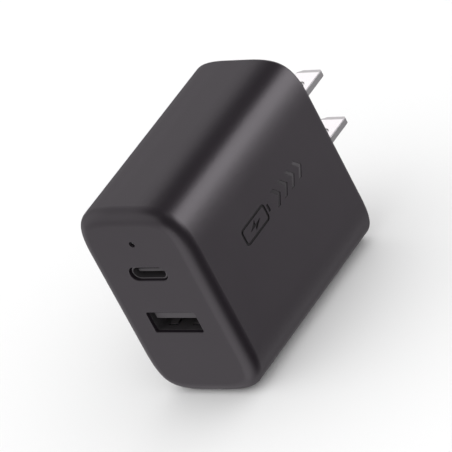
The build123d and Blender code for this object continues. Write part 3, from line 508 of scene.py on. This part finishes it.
for subpart in frame["record"]["subparts"]:
    node_object = frame["nodes"][subpart["node"]]
    for material_slot in node_object.material_slots:
        material_slot.material = finishes[subpart["material_slot"]]


# --- floor ----------------------------------------------------------------------------------------
FLOOR_WHITE = (0.86, 0.86, 0.86), (0.88, 0.88, 0.88)
FLOOR_HALF = 6.0
FLOOR_GAP = 0.02 * MM


FLOOR_CLOUD = 0.5


def pale_floor():
    f = new_finish("pale_floor")
    cloud = f.noise(FLOOR_CLOUD, detail=3)
    colour = f.mix(*FLOOR_WHITE, cloud)
    return f.surface(colour, 0.8 + 0.1 * cloud, Specular_IOR_Level=0.2)


floor_z = cad_box[0].z - FLOOR_GAP
sides = ((-1, -1), (1, -1), (1, 1), (-1, 1))
corners = [(x * FLOOR_HALF, y * FLOOR_HALF, floor_z) for x, y in sides]
floor_mesh = bpy.data.meshes.new("floor")
floor_mesh.from_pydata(corners, [], [(0, 1, 2, 3)])
floor_mesh.materials.append(pale_floor())
floor = bpy.data.objects.new("floor", floor_mesh)
bpy.context.scene.collection.objects.link(floor)
floor.visible_glossy = False  # the plastic mirrors the studio's cards instead


# --- studio light ---------------------------------------------------------------------------------
# Each card is a soft-edged patch of the studio that polished surfaces mirror:
# its direction from the charger, its full and faded angles in degrees, and its brightness.
LIGHT_CARDS = [
    (Vector((0.764, 0.611, 0.16)), 13, 40, 4.1),  # long window at the right, behind
    (Vector((0.07, -0.87, -0.49)), 12, 43, 1.2),  # bounce card low in front
    (Vector((-0.65, -0.50, 0.60)), 10, 45, 0.45),  # soft window at the left, in front
    (Vector((-0.633, 0.60, 0.49)), 5, 12, 0.45),  # small lamp at the left, behind
]
DARK_CARDS = [
    (Vector((-0.12, 0.60, 0.79)), 10, 33, 0.90),  # overhead, behind
    (Vector((-0.10, -0.12, 0.985)), 18, 36, 0.90),  # overhead
    (Vector((0.50, -0.65, 0.57)), 24, 47, 1.0),  # by the viewer
    (Vector((0.86, -0.50, 0.10)), 20, 42, 1.0),  # right, in front
    (Vector((0.87, 0.12, -0.49)), 18, 42, 1.0),  # low at the right
    (Vector((-0.45, 0.60, -0.66)), 25, 50, 0.65),  # low behind
    (Vector((-0.86, 0.50, 0.00)), 15, 40, 0.45),  # left, behind
]
ROOM_MIRRORED = 0.89  # brightness of the room between the cards, in reflections
ROOM_GLOW = 1.20  # brightness of the even room that lights dull surfaces
CARD_TINT = (1.0, 0.95, 1.0)
WHITE = (1.0, 1.0, 1.0)


def studio():
    world = bpy.data.worlds.new("studio")
    bpy.context.scene.world = world
    world.use_nodes = True
    f = Finish(world.node_tree, coordinates="Generated")  # the direction that a ray leaves in

    def patch(direction, full, faded):
        """1 in the middle of a card, 0 outside it, and smooth between them."""
        settings = {"operation": "DOT_PRODUCT"}
        toward = f.node("ShaderNodeVectorMath", settings, [f.place, direction.normalized()], "Value")
        return toward.step(cos(radians(faded)), cos(radians(full)))

    mirrored = ROOM_MIRRORED
    for direction, full, faded, brightness in LIGHT_CARDS:
        mirrored = mirrored + brightness * patch(direction, full, faded)
    for direction, full, faded, depth in DARK_CARDS:
        mirrored = mirrored * (1 - depth * patch(direction, full, faded))
    is_mirrored = f.node("ShaderNodeLightPath", output="Is Glossy Ray")
    strength = is_mirrored * mirrored + (1 - is_mirrored) * ROOM_GLOW
    colour = f.mix(WHITE, CARD_TINT, is_mirrored)
    light = f.node("ShaderNodeBackground", inputs={"Color": colour, "Strength": strength})
    f.node("ShaderNodeOutputWorld", inputs={"Surface": light})


studio()

# --- camera ---------------------------------------------------------------------------------------
VIEW_AZIMUTH = radians(46.53)
VIEW_ELEVATION = radians(29.33)
VIEW_ROLL = radians(-28.2)
VIEW_DISTANCE = 0.984
LENS = 380.0  # mm, on a 36 mm sensor
CLIP_NEAR, CLIP_FAR = 0.01, 50.0

toward_viewer = Vector(
    (
        sin(VIEW_AZIMUTH) * cos(VIEW_ELEVATION),
        -cos(VIEW_AZIMUTH) * cos(VIEW_ELEVATION),
        sin(VIEW_ELEVATION),
    )
)
level_right = Vector((cos(VIEW_AZIMUTH), sin(VIEW_AZIMUTH), 0))
level_up = toward_viewer.cross(level_right)
right = level_right * cos(VIEW_ROLL) + level_up * sin(VIEW_ROLL)
up = level_up * cos(VIEW_ROLL) - level_right * sin(VIEW_ROLL)
camera = bpy.data.objects.new("camera", bpy.data.cameras.new("camera"))
camera.data.lens = LENS
camera.data.clip_start, camera.data.clip_end = CLIP_NEAR, CLIP_FAR
camera_turn = Matrix((right, up, toward_viewer)).transposed().to_4x4()
camera_place = Matrix.Translation(body_middle + VIEW_DISTANCE * toward_viewer)
camera.matrix_world = camera_place @ camera_turn
bpy.context.scene.collection.objects.link(camera)
bpy.context.scene.camera = camera
bpy.context.scene.view_settings.view_transform = "Standard"
